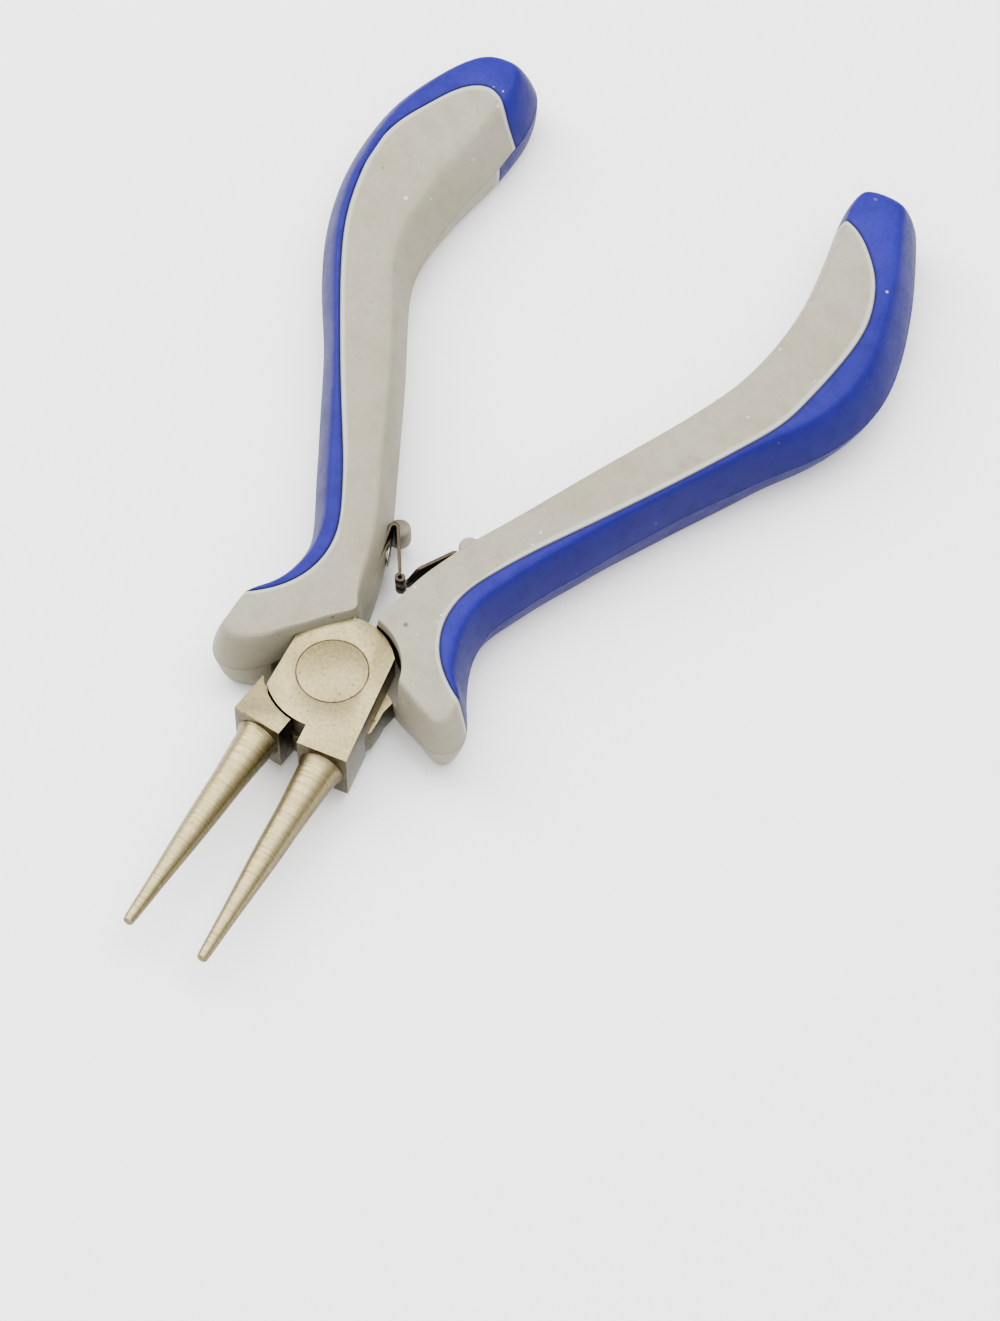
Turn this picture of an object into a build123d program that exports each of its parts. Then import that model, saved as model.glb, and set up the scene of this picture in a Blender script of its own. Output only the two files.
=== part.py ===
from build123d import *
import os
import math

# Round nose pliers, 125 mm class, lap joint, two-colour moulded grips, double
# leaf return spring.  Millimetres, +Z up.
#
# Row frame: the pliers lie flat on the undersides of the grips, handles towards
# +Y, jaws towards -Y, pivot axis along +Z on the plane X = 0.  The origin is the
# middle of the footprint at rest, on the undersides of the grips.
#
# Outlines are given as (a, s): a = distance behind the pivot, towards the
# handles; s = distance to the left of the centre line.  They describe the half
# that carries the left handle, at the rest opening.  The other half is the same
# shape turned 180 degrees about the long axis.

# ---- driving dimensions -------------------------------------------------------
FIT = 0.985            # scale of the traced outlines to the nominal 125 mm tool
HALF_OPEN = 6.2        # degrees each half is turned from closed, at rest
HEAD_HALF_T = 3.62     # half thickness of the steel head and tangs
LAP_GAP = 0.03         # half of the gap between the two lap plates
RIM_R = 7.5            # rim radius of each lap plate
POCKET_R = 7.8         # radius of the pocket each rim turns in
GRIP_CLEAR_R = 7.8     # radius the grips keep clear of the other half's plate
GRIP_HALF_T = 5.1      # half thickness of the grips

RIVET_SHAFT_R = 2.50   # pivot rivet shank
RIVET_BORE_R = 2.55    # bore in the upper half, 0.05 running clearance; the shank is tight in the lower half
RIVET_HEAD_R = 4.10    # flush countersunk heads
RIVET_HEAD_T = 1.20
RIVET_SINK_R = 4.16    # counterbore in the plates

JAW_BASE_A = -9.6      # jaw cone base, inside the block's front face
JAW_TIP_A = -36.75
JAW_BASE_R = 2.32
JAW_COLLAR_R = 2.75
JAW_MID_R = 1.50
JAW_TIP_R = 0.62

TANG_HALF_W = [2.9, 2.8, 2.8, 2.8, 2.8, 2.8, 2.85, 3.0, 3.3, 3.7, 4.0, 4.0, 3.7, 3.2]   # tang half width along its length

LEAF_T = 0.42          # leaf spring thickness
LEAF_HALF_W = 2.1      # leaf spring half width
EYE_R = 0.62           # rolled eye at the meeting point of the springs
EYE_GAP = 0.35         # end gap between the interleaved eyes
VERTEX_A = 15.95       # where the two springs meet
HAIRPIN = (21.25, 4.05)  # centre of the hairpin bend
HAIRPIN_R = 0.50       # radius of the bend's middle line

SPRING_RIVET_R = 0.80


def P(a, s):
    """outline coordinates to row X, Y about the pivot"""
    return (-s * FIT, a * FIT)


def pts(seq):
    return [P(a, s) for a, s in seq]


def solid_of(face, z0, z1):
    return extrude(Pos(0, 0, z0) * face, amount=z1 - z0, dir=(0, 0, 1))


def face_of(edges):
    return make_face(Wire(edges))


def flip(shape):
    """the same shape on the other half: 180 degrees about the long axis"""
    return shape.rotate(Axis.Y, 180)


# ---- the steel half with the left tang and the right jaw ------------------------
# plate and block outline
block_in_front = P(-10.15, -1.20)
notch = P(-7.62, -0.93)
rim_in = (0.10 * FIT, -math.sqrt(RIM_R ** 2 - (0.10 * FIT) ** 2))
rim_mid = (-RIM_R * math.sin(math.radians(24)), -RIM_R * math.cos(math.radians(24)))
rim_out_ang = math.radians(48.5)
rim_out = (-RIM_R * math.sin(rim_out_ang), -RIM_R * math.cos(rim_out_ang))
flank_l = P(1.9, 6.05)
block_out_front = P(-9.62, -7.35)
back_corner = P(4.9, -5.42)
back_rim = P(6.75, -3.25)
back_top = P(7.45, -1.55)
back_in = P(7.60, 0.2)
tang_root = P(7.50, 1.22)   # the root stands back from the middle line, to clear the other root when closed

# middle line of the tang and its two sides
tang_mid = [(11.5, 6.5), (15, 7.35), (20, 9.25), (26, 12.05), (32, 14.95), (38, 17.95), (44, 21.2), (50, 24.3), (56, 26.6),
            (62, 27.9), (68, 28.4), (73.5, 28.2), (78.0, 27.6), (81.0, 27.0)]


def offset_line(mid, widths, side):
    out = []
    n = len(mid)
    for i, (a, s) in enumerate(mid):
        p0 = mid[max(i - 1, 0)]
        p1 = mid[min(i + 1, n - 1)]
        ta, ts = p1[0] - p0[0], p1[1] - p0[1]
        m = math.hypot(ta, ts)
        w = widths[i]
        out.append((a - ts / m * w * side, s + ta / m * w * side))
    return out


tang_out = offset_line(tang_mid, TANG_HALF_W, 1)
tang_in = offset_line(tang_mid, TANG_HALF_W, -1)

edges = [
    Line(block_in_front, notch),
    Line(notch, rim_in),
    ThreePointArc(rim_in, rim_mid, rim_out),
    Line(rim_out, flank_l),
    Spline([flank_l] + pts([(5.0, 7.6)]) + pts(tang_out)),
    ThreePointArc(P(*tang_out[-1]), P(tang_mid[-1][0] + TANG_HALF_W[-1], tang_mid[-1][1] - 0.5), P(*tang_in[-1])),
    Spline(pts(tang_in[::-1]) + pts([(9.4, 2.7), (8.35, 1.5)])),
    Line(P(8.35, 1.5), tang_root),
    ThreePointArc(tang_root, P(7.585, 0.7), back_in),
    Spline([back_in, back_top, back_rim, back_corner]),
    Line(back_corner, block_out_front),
    Line(block_out_front, block_in_front),
]
outline = face_of(edges)

top_layer = solid_of(outline, LAP_GAP, HEAD_HALF_T)
low_layer = solid_of(outline, -HEAD_HALF_T, LAP_GAP) - Pos(0, 0, -HEAD_HALF_T / 2) * Cylinder(POCKET_R, 2 * HEAD_HALF_T)
half = top_layer + low_layer

# fuller flank of the lower half's plate, beside the right grip
flank = solid_of(face_of(Polyline(pts([(-4.4, 6.1), (-3.1, 6.72), (-1.5, 6.75), (-0.1, 6.64), (2.8, 7.2), (5.0, 7.6), (3.5, 6.0), (0, 5.0),
                                       (-4.4, 6.1)])).edges()), LAP_GAP, HEAD_HALF_T)

# round jaw: a long cone with a small collar where it leaves the block
ca, sa = math.cos(math.radians(HALF_OPEN)), math.sin(math.radians(HALF_OPEN))


def rest(a, s):
    """closed-frame (a, s) of this half to rest: the right jaw swings right"""
    # turning the half open moves points behind the pivot left and points before it right
    return (a * ca - s * sa, s * ca + a * sa)


jaw_tip = rest(-38.0, -0.72)
jaw_base = rest(-9.75, -3.05)
tip_xy = P(*jaw_tip)
base_xy = P(*jaw_base)
jv = Vector(tip_xy[0] - base_xy[0], tip_xy[1] - base_xy[1], 0)
jaw_len = jv.length
prof = make_face(
    Wire([
        Line((0, 0), (JAW_COLLAR_R, 0)),
        Line((JAW_COLLAR_R, 0), (JAW_COLLAR_R, 0.55)),
        Spline([(JAW_COLLAR_R, 0.55), (JAW_BASE_R + 0.12, 1.15), (JAW_BASE_R - 0.02, 2.2), (2.02, 5.6), (JAW_MID_R + 0.14, jaw_len * 0.45),
                (1.12, jaw_len * 0.72), (JAW_TIP_R + 0.08, jaw_len - 0.9)]),
        Line((JAW_TIP_R + 0.08, jaw_len - 0.9), (JAW_TIP_R, jaw_len - 0.18)),
        Line((JAW_TIP_R, jaw_len - 0.18), (JAW_TIP_R - 0.18, jaw_len)),
        Line((JAW_TIP_R - 0.18, jaw_len), (0, jaw_len)),
        Line((0, jaw_len), (0, 0)),
    ])
)
cone = revolve(Plane.XY * prof, Axis.Y, 360)
ang = math.degrees(math.atan2(jv.Y, jv.X)) - 90
cone = Pos(base_xy[0], base_xy[1], 0) * Rot(0, 0, ang) * cone
half = half + cone

# pivot bores with flush counterbores for the rivet heads: running in the upper half, tight in the lower
def bored(shape, bore_r, sink_r, sink_t, side):
    shape = shape - Cylinder(bore_r, 30)
    return shape - Pos(0, 0, side * HEAD_HALF_T) * Cylinder(sink_r, 2 * sink_t)


# ---- pivot rivet -----------------------------------------------------------------
rivet = (Cylinder(RIVET_SHAFT_R, 2 * HEAD_HALF_T)
         + Pos(0, 0, HEAD_HALF_T - RIVET_HEAD_T / 2) * Cylinder(RIVET_HEAD_R, RIVET_HEAD_T)
         + Pos(0, 0, -HEAD_HALF_T + RIVET_HEAD_T / 2) * Cylinder(RIVET_HEAD_R, RIVET_HEAD_T))

# ---- grips: rounded body between a mid-plane ridge and flat top and bottom ---------
# rows are (a, s, inset of the flat face on the plate side, inset on the other side)
OUTLINE = {
    "left": [
        (-3.5, 13.2, 1.7, 1.4), (-2.7, 14.5, 1.7, 1.3), (-1.2, 15.3, 1.7, 1.3), (0.8, 15.35, 1.7, 1.4), (3.2, 14.75, 1.7, 1.6), (6.0, 13.65, 1.8, 1.7),
        (9.6, 12.15, 1.8, 1.7), (13.2, 11.7, 1.7, 1.6), (16.2, 12.3, 1.7, 1.6), (19.2, 13.65, 1.7, 1.6), (22.5, 15.4, 1.7, 1.6),
        (27.0, 17.7, 1.7, 1.6), (31.6, 20.1, 1.7, 1.6), (36.2, 22.45, 1.7, 1.6), (40.8, 24.95, 1.7, 1.6), (45.3, 27.8, 1.8, 1.7), (49.8, 30.4, 1.9, 1.8),
        (54.6, 32.7, 2.1, 2.0), (59.9, 34.5, 2.4, 2.2), (65.5, 35.55, 2.6, 2.3), (70.5, 35.7, 2.7, 2.4), (75.4, 35.1, 2.7, 2.4), (79.3, 33.65, 2.5, 2.3),
        (82.2, 32.2, 2.3, 2.2), (84.6, 30.7, 2.2, 2.1), (86.3, 29.1, 2.1, 2.0), (87.3, 27.3, 2.0, 2.0), (87.75, 25.1, 2.0, 2.0), (87.6, 22.7, 2.2, 2.0),
        (86.4, 20.9, 2.5, 1.8), (84.1, 19.7, 2.8, 1.7), (81.2, 19.1, 3.1, 1.6), (77.9, 19.05, 3.4, 1.6), (73.5, 19.45, 3.5, 1.6), (68.4, 20.2, 3.4, 1.6), (63.3, 20.65, 3.1, 1.6),
        (58.5, 20.6, 3.0, 1.7), (54.0, 20.0, 2.4, 1.7), (50.0, 18.4, 1.9, 1.6), (45.6, 16.15, 1.6, 1.5), (41.0, 13.75, 1.5, 1.5), (36.3, 11.45, 1.6, 1.5),
        (31.6, 9.2, 1.6, 1.5), (27.0, 7.0, 1.7, 1.4), (22.5, 4.9, 1.6, 1.0), (18.5, 3.4, 1.5, 0.8), (15.6, 2.6, 1.4, 0.6), (13.0, 2.05, 1.2, 0.5),
        (11.0, 1.7, 0.9, 0.45), (9.4, 1.4, 0.5, 0.4), (8.1, 1.1, 0.2, 0.4), (6.7, 1.9, 0.3, 0.4), (5.2, 3.2, 0.5, 0.4), (3.8, 4.4, 0.5, 0.4), (2.4, 5.6, 0.5, 0.4),
        (1.0, 6.75, 0.7, 0.4), (-0.6, 7.75, 0.9, 0.45), (-1.8, 8.8, 1.2, 0.6), (-2.8, 10.0, 1.5, 1.0), (-3.5, 11.5, 1.7, 1.3),
    ],
    "right": [
        (-2.0, 14.3, 1.65, 1.2), (-1.5, 15.6, 1.65, 1.3), (-0.4, 16.5, 1.65, 1.4), (1.0, 16.75, 1.65, 1.6), (2.8, 16.1, 1.7, 1.7), (4.9, 14.85, 1.8, 1.8),
        (7.1, 13.7, 1.8, 1.8), (9.6, 12.7, 1.7, 1.7), (12.4, 12.15, 1.7, 1.7), (15.6, 12.3, 1.7, 1.7), (19.0, 13.6, 1.7, 1.7), (22.5, 15.15, 1.7, 1.7),
        (27.0, 17.45, 1.7, 1.7), (31.6, 19.75, 1.7, 1.7), (36.2, 22.15, 1.7, 1.7), (40.8, 24.7, 1.7, 1.7), (45.3, 27.6, 1.8, 1.8), (49.8, 30.5, 1.9, 1.9),
        (54.6, 33.9, 2.1, 2.2), (59.9, 36.5, 2.4, 2.6), (65.5, 37.55, 2.6, 2.9), (70.8, 37.05, 2.7, 2.9), (76.0, 35.7, 2.7, 2.8), (81.0, 33.95, 2.5, 2.5),
        (85.2, 32.15, 2.3, 2.3), (88.7, 30.5, 2.1, 2.1), (91.1, 28.8, 2.0, 1.9), (91.85, 26.4, 2.0, 1.9), (91.6, 23.5, 2.0, 1.9), (90.4, 21.65, 2.0, 1.8),
        (87.7, 20.95, 2.4, 1.5), (84.0, 21.4, 2.8, 1.5), (79.2, 22.2, 3.0, 1.5), (72.8, 22.9, 3.0, 1.5), (67.0, 22.85, 3.0, 1.5), (62.0, 22.25, 2.8, 1.5),
        (57.2, 21.1, 2.5, 1.5), (53.0, 19.45, 2.2, 1.5), (49.2, 17.7, 1.9, 1.5), (45.0, 15.6, 1.6, 1.5), (41.0, 13.55, 1.5, 1.5), (36.3, 11.2, 1.6, 1.5),
        (31.6, 8.9, 1.6, 1.5), (27.0, 6.7, 1.7, 1.4), (22.5, 4.7, 1.6, 1.1), (18.5, 3.35, 1.5, 0.8), (15.6, 2.5, 1.4, 0.6), (13.0, 1.95, 1.3, 0.5),
        (11.0, 1.65, 0.9, 0.45), (9.4, 1.4, 0.5, 0.4), (8.1, 1.1, 0.2, 0.4), (6.7, 1.9, 0.3, 0.4), (5.2, 3.2, 0.5, 0.4), (3.8, 4.4, 0.5, 0.4), (2.4, 5.7, 0.5, 0.4),
        (1.4, 7.1, 0.7, 0.6), (0.5, 8.6, 1.0, 0.8), (-0.35, 10.1, 1.4, 0.9), (-1.2, 11.7, 1.6, 1.0), (-1.8, 13.0, 1.65, 1.1),
    ],
}
# two-colour split: the blue back and end, the grey face and thumb guard
BACK = [(1.2, 19.0), (2.4, 16.0), (4.2, 13.0), (7, 10.2), (10, 8.7), (13, 8.25), (16, 8.65), (20, 10.3), (25, 13.0), (30, 16.05),
        (37, 20.3), (43, 23.8), (50, 27.65), (55, 29.95)]
BORDER = {
    "left": BACK + [(62, 31.9), (67.3, 32.4), (71.8, 31.7), (75.2, 30.2), (77.7, 28.3), (79.2, 26.4), (79.6, 24.6), (78.8, 22.8),
                    (77.6, 21.2), (76.3, 19.6), (75.2, 17.5), (74.8, 15.5)],
    "right": BACK + [(58.6, 30.9), (66.6, 32.1), (71.6, 32.2), (75.5, 31.3), (78.3, 29.9), (80.8, 28.1), (82.9, 26.0), (84.2, 24.0),
                     (84.5, 22.0), (84.2, 20.2), (83.9, 18.0), (83.8, 16.0)],
}
levels = [(0.0, 0.0), (0.30, 0.20), (0.62, 0.50), (0.86, 0.80), (0.96, 1.02), (1.0, 1.28)]
LUG = {"left": (23.0, 4.35, 1.35), "right": (22.6, 5.35, 1.3)}


def contour(side, k_in, upper):
    ridge = OUTLINE[side]
    n = len(ridge)
    out = []
    for i in range(n):
        a0, s0 = ridge[i - 1][:2]
        a1, s1 = ridge[(i + 1) % n][:2]
        ta, ts = a1 - a0, s1 - s0
        m = math.hypot(ta, ts)
        a, s = ridge[i][:2]
        inset = ridge[i][2] if upper else ridge[i][3]
        # the loop runs nose, outer side, end, inner side, so the inside is on the right
        out.append((a + ts / m * inset * k_in, s - ta / m * inset * k_in))
    return out


def grip_body(side):
    sections = []
    for f, k_in in [(-f, k) for f, k in levels[:0:-1]] + levels:
        loop = Spline(pts(contour(side, k_in, f >= 0)), periodic=True)
        sections.append(Pos(0, 0, f * GRIP_HALF_T) * make_face(Wire([loop])))
    body = loft(sections)
    # moulded lug beside the spring, away from the plate side
    la, ls, lr = LUG[side]
    lug_c = P(la, ls)
    return body + Pos(lug_c[0], lug_c[1], -2.0) * Cylinder(lr, 3.1)


def blue_tool(side):
    line = BORDER[side]
    end = line[-1]
    tool = face_of([
        Spline(pts(line)),
        Line(P(*end), P(98, end[1])),
        Line(P(98, end[1]), P(98, 45)),
        Line(P(98, 45), P(1.2, 45)),
        Line(P(1.2, 45), P(1.2, 19.0)),
    ])
    return solid_of(tool, -10, 10)


# room for the steel half, for the other half's plate and for the springs
steel_room = solid_of(outline, -HEAD_HALF_T, HEAD_HALF_T)
plate_room = Pos(0, 0, -10) * Cylinder(GRIP_CLEAR_R, 20)     # only on the side of the other half's plate

# ---- leaf spring ------------------------------------------------------------------
# base leg along the grip's inner side, hairpin bend, arm to the meeting point
hx, hs = HAIRPIN
arm_dir = math.atan2(0.0 - hs, VERTEX_A - hx)          # from the bend to the vertex
arm_len = math.hypot(hs, VERTEX_A - hx)
leg_dir = math.atan2(-2.05, -5.4)                      # the leg runs forward and inward


def off(a, s, d, t, n):
    """point t along direction d and n to its left"""
    return (a + t * math.cos(d) - n * math.sin(d), s + t * math.sin(d) + n * math.cos(d))


h = LEAF_T / 2
# arm: middle line starts at the bend's near side, offset towards the centre line
arm_off = HAIRPIN_R
eye_c = (VERTEX_A, 0.0)
arm_poly = [off(hx, hs, arm_dir, 0.22, arm_off - h), off(hx, hs, arm_dir, arm_len - 0.30, arm_off * 0.02 - h),
            off(hx, hs, arm_dir, arm_len - 0.30, arm_off * 0.02 + h), off(hx, hs, arm_dir, 0.22, arm_off + h)]
arm_face = face_of(Polyline(pts(arm_poly + arm_poly[:1])).edges())


def leaf_band(z0, z1):
    strip = solid_of(arm_face, z0, z1)
    eye = Pos(P(*eye_c)[0], P(*eye_c)[1], (z0 + z1) / 2) * Cylinder(EYE_R, z1 - z0)
    return strip + eye


body_strip = solid_of(face_of(Polyline(pts([off(hx, hs, arm_dir, 0.22, arm_off - h), off(hx, hs, arm_dir, arm_len - 2.1, arm_off * 0.32 - h),
                                            off(hx, hs, arm_dir, arm_len - 2.1, arm_off * 0.32 + h), off(hx, hs, arm_dir, 0.22, arm_off + h),
                                            off(hx, hs, arm_dir, 0.22, arm_off - h)])).edges()), -LEAF_HALF_W, LEAF_HALF_W)
knuckle = 2 * LEAF_HALF_W / 3
left_arm = body_strip + leaf_band(-LEAF_HALF_W, -knuckle / 2 - EYE_GAP / 2) + leaf_band(knuckle / 2 + EYE_GAP / 2, LEAF_HALF_W)
right_arm = flip(body_strip + leaf_band(-knuckle / 2 + EYE_GAP / 2, knuckle / 2 - EYE_GAP / 2))

# leg with the hairpin
leg_poly = [off(hx, hs, leg_dir, -0.10, -HAIRPIN_R + h), off(hx, hs, leg_dir, 5.3, -HAIRPIN_R + h),
            off(hx, hs, leg_dir, 5.3, -HAIRPIN_R - h), off(hx, hs, leg_dir, -0.10, -HAIRPIN_R - h)]
leg = solid_of(face_of(Polyline(pts(leg_poly + leg_poly[:1])).edges()), -LEAF_HALF_W, LEAF_HALF_W)
ring = Pos(P(hx, hs)[0], P(hx, hs)[1], 0) * (Cylinder((HAIRPIN_R + h) * FIT, 2 * LEAF_HALF_W) - Cylinder((HAIRPIN_R - h) * FIT, 3 * LEAF_HALF_W))
open_leg = solid_of(face_of(Polyline(pts([off(hx, hs, leg_dir, 0.10, -3), off(hx, hs, leg_dir, 3, -3), off(hx, hs, leg_dir, 3, 0.25),
                                          off(hx, hs, leg_dir, 0.10, 0.25), off(hx, hs, leg_dir, 0.10, -3)])).edges()), -5, 5)
open_arm = solid_of(face_of(Polyline(pts([off(hx, hs, arm_dir, 0.02, -0.25), off(hx, hs, arm_dir, 3, -0.25), off(hx, hs, arm_dir, 3, 3),
                                          off(hx, hs, arm_dir, 0.02, 3), off(hx, hs, arm_dir, 0.02, -0.25)])).edges()), -5, 5)
hairpin = ring - open_leg - open_arm
left_leg = leg + hairpin

print("arm", arm_len, "dir", math.degrees(arm_dir))

# ---- spring rivet: fixes the leg to the tang ----------------------------------------
rv = off(hx, hs, leg_dir, 2.7, -HAIRPIN_R)
nrm = leg_dir - math.pi / 2       # from the leg towards the tang, to the right of its run
rx, ry = P(*rv)
# direction in row coordinates
dx, dy = P(math.cos(nrm), math.sin(nrm))
dl = math.hypot(dx, dy)
rivet_dir = Vector(dx / dl, dy / dl, 0)
print("rivet at", rv, "dir", rivet_dir)


def along(origin, direction, radius, t0, t1):
    pl = Plane(origin=Vector(*origin) + direction * t0, z_dir=direction)
    return extrude(pl * Circle(radius), amount=t1 - t0)


spring_rivet = along((rx, ry, 0), rivet_dir, SPRING_RIVET_R, -LEAF_T / 2 - 0.12, 3.0)
spring_rivet = spring_rivet + along((rx, ry, 0), rivet_dir, SPRING_RIVET_R * 1.6, -LEAF_T / 2 - 0.17, -LEAF_T / 2)

left_leg = left_leg - spring_rivet
half = half - spring_rivet
spring_room = solid_of(face_of(Polyline(pts([off(hx, hs, leg_dir, -0.75, 3), off(hx, hs, leg_dir, 5.5, 3), off(hx, hs, leg_dir, 5.5, -HAIRPIN_R - h),
                                             off(hx, hs, leg_dir, -0.75, -HAIRPIN_R - h), off(hx, hs, leg_dir, -0.75, 3)])).edges()),
                       -LEAF_HALF_W - 0.1, LEAF_HALF_W + 0.1)


def two_colours(side):
    body = grip_body(side) - steel_room - plate_room - spring_room - spring_rivet
    if side == "right":
        body = body - flank
    tool = blue_tool(side)
    return body - tool, body & tool


left_grey, left_blue = two_colours("left")
right_grey, right_blue = two_colours("right")

# ---- assemble, then put the origin on the footprint's middle --------------------------
nodes = {
    "upper_half": bored(half, RIVET_BORE_R, RIVET_SINK_R, RIVET_HEAD_T + 0.02, 1),
    "lower_half": bored(flip(half + flank), RIVET_SHAFT_R, RIVET_HEAD_R, RIVET_HEAD_T, -1),
    "pivot_rivet": rivet,
    "left_grip_grey": left_grey,
    "left_grip_blue": left_blue,
    "right_grip_grey": flip(right_grey),
    "right_grip_blue": flip(right_blue),
    "left_spring_leg": left_leg,
    "left_spring_arm": left_arm,
    "right_spring_leg": flip(left_leg),
    "right_spring_arm": right_arm,
    "left_spring_rivet": spring_rivet,
    "right_spring_rivet": flip(spring_rivet),
}
lo = [1e9] * 3
hi = [-1e9] * 3
for s in nodes.values():
    bb = s.bounding_box()
    for i, (u, v) in enumerate(zip((bb.min.X, bb.min.Y, bb.min.Z), (bb.max.X, bb.max.Y, bb.max.Z))):
        lo[i] = min(lo[i], u)
        hi[i] = max(hi[i], v)
shift = Pos(-(lo[0] + hi[0]) / 2, -(lo[1] + hi[1]) / 2, -lo[2])
print("low", lo, "high", hi, "pivot X", -(lo[0] + hi[0]) / 2, "pivot Y", -(lo[1] + hi[1]) / 2, "mid-plane Z", -lo[2])

os.makedirs("parts", exist_ok=True)
for name, s in nodes.items():
    placed = shift * s
    solids = placed.solids()
    if len(solids) != 1:
        print("WARNING", name, len(solids), [round(q.volume, 3) for q in solids])
    export_step(placed if len(solids) != 1 else solids[0], f"parts/{name}.step")
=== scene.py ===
import bpy, bmesh, math, random
import numpy as np
from mathutils import Vector, Matrix


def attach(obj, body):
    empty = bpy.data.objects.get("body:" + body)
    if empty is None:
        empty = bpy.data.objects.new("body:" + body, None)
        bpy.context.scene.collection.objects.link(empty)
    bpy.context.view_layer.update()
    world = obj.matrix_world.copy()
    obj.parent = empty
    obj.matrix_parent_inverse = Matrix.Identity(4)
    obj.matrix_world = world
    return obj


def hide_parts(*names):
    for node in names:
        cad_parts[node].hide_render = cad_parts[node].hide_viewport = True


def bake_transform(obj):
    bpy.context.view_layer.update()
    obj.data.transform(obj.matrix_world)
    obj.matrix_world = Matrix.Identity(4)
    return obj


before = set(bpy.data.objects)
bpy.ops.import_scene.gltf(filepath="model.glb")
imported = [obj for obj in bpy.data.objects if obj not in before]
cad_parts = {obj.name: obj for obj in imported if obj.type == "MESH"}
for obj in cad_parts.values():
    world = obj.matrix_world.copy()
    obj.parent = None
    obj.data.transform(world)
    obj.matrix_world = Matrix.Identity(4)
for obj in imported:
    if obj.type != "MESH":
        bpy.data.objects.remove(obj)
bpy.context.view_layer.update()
random.seed(7)
rng = np.random.default_rng(7)

# ------------------------------------------------------------------ frame
K = 0.985e-3                 # plan millimetre to row metre
PX = -0.9041e-3               # pivot
PY = -26.6874e-3
MZ = 5.1e-3                  # mid-plane of the tool
HALF_T = 5.08e-3             # grip half thickness
HEAD_T = 3.62e-3


def P2(a, s):
    return np.array([-s * K + PX, a * K + PY])


# ------------------------------------------------------------------ curve tools
def periodic_spline(points, n):
    """smooth closed curve through rows of numbers; returns n rows and their tangents"""
    p = np.asarray(points, float)
    m = len(p)
    d = np.linalg.norm(np.roll(p[:, :2], -1, 0) - p[:, :2], axis=1)
    t = np.concatenate([[0], np.cumsum(d)])
    A = np.zeros((m, m))
    B = np.zeros_like(p)
    for i in range(m):
        h0, h1 = d[i - 1], d[i]
        A[i, i - 1] += h0
        A[i, i] += 2 * (h0 + h1)
        A[i, (i + 1) % m] += h1
        B[i] = 6 * ((p[(i + 1) % m] - p[i]) / h1 - (p[i] - p[i - 1]) / h0)
    M = np.linalg.solve(A, B)
    u = np.linspace(0, t[-1], n, endpoint=False)
    k = np.clip(np.searchsorted(t, u, side="right") - 1, 0, m - 1)
    h = d[k][:, None]
    x = (u - t[k])[:, None]
    p0, p1 = p[k], p[(k + 1) % m]
    m0, m1 = M[k], M[(k + 1) % m]
    b = (p1 - p0) / h - h * (2 * m0 + m1) / 6
    c = m0 / 2
    e = (m1 - m0) / (6 * h)
    pos = p0 + b * x + c * x * x + e * x ** 3
    tan = b + 2 * c * x + 3 * e * x * x
    return pos, tan


def open_spline(points, n):
    """natural cubic spline through open points"""
    p = np.asarray(points, float)
    m = len(p)
    d = np.linalg.norm(np.diff(p[:, :2], axis=0), axis=1)
    t = np.concatenate([[0], np.cumsum(d)])
    A = np.eye(m)
    B = np.zeros_like(p)
    for i in range(1, m - 1):
        A[i, i - 1] = d[i - 1]
        A[i, i] = 2 * (d[i - 1] + d[i])
        A[i, i + 1] = d[i]
        B[i] = 6 * ((p[i + 1] - p[i]) / d[i] - (p[i] - p[i - 1]) / d[i - 1])
    M = np.linalg.solve(A, B)
    u = np.linspace(0, t[-1], n)
    k = np.clip(np.searchsorted(t, u, side="right") - 1, 0, m - 2)
    h = d[k][:, None]
    x = (u - t[k])[:, None]
    b = (p[k + 1] - p[k]) / h - h * (2 * M[k] + M[k + 1]) / 6
    return p[k] + b * x + M[k] / 2 * x * x + (M[k + 1] - M[k]) / (6 * h) * x ** 3


def resample(poly, n):
    d = np.concatenate([[0], np.cumsum(np.linalg.norm(np.diff(poly, axis=0), axis=1))])
    u = np.linspace(0, d[-1], n)
    return np.stack([np.interp(u, d, poly[:, i]) for i in range(poly.shape[1])], 1)


def trim(poly, r):
    """cut r off both ends of a polyline"""
    d = np.concatenate([[0], np.cumsum(np.linalg.norm(np.diff(poly, axis=0), axis=1))])
    r = min(r, d[-1] * 0.3)
    keep = poly[(d > r) & (d < d[-1] - r)]
    a = [np.interp(r, d, poly[:, i]) for i in range(2)]
    b = [np.interp(d[-1] - r, d, poly[:, i]) for i in range(2)]
    return np.vstack([[a], keep, [b]])


def crossings(c, line):
    """crossings of closed curve c with an open line: list of (index on c, index on line)"""
    c1 = np.roll(c, -1, 0)
    out = []
    p, r = c[:, None, :], (c1 - c)[:, None, :]
    q, s = line[None, :-1, :], (line[1:] - line[:-1])[None, :, :]
    den = r[..., 0] * s[..., 1] - r[..., 1] * s[..., 0]
    den = np.where(np.abs(den) < 1e-14, 1e-14, den)
    w = q - p
    t = (w[..., 0] * s[..., 1] - w[..., 1] * s[..., 0]) / den
    u = (w[..., 0] * r[..., 1] - w[..., 1] * r[..., 0]) / den
    for i, j in zip(*np.nonzero((t >= 0) & (t < 1) & (u >= 0) & (u < 1))):
        out.append((i + t[i, j], j + u[i, j]))
    return out


def at(c, x, closed=True):
    i = int(math.floor(x))
    f = x - i
    n = len(c)
    return c[i % n] * (1 - f) + c[(i + 1) % n if closed else min(i + 1, n - 1)] * f


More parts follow.
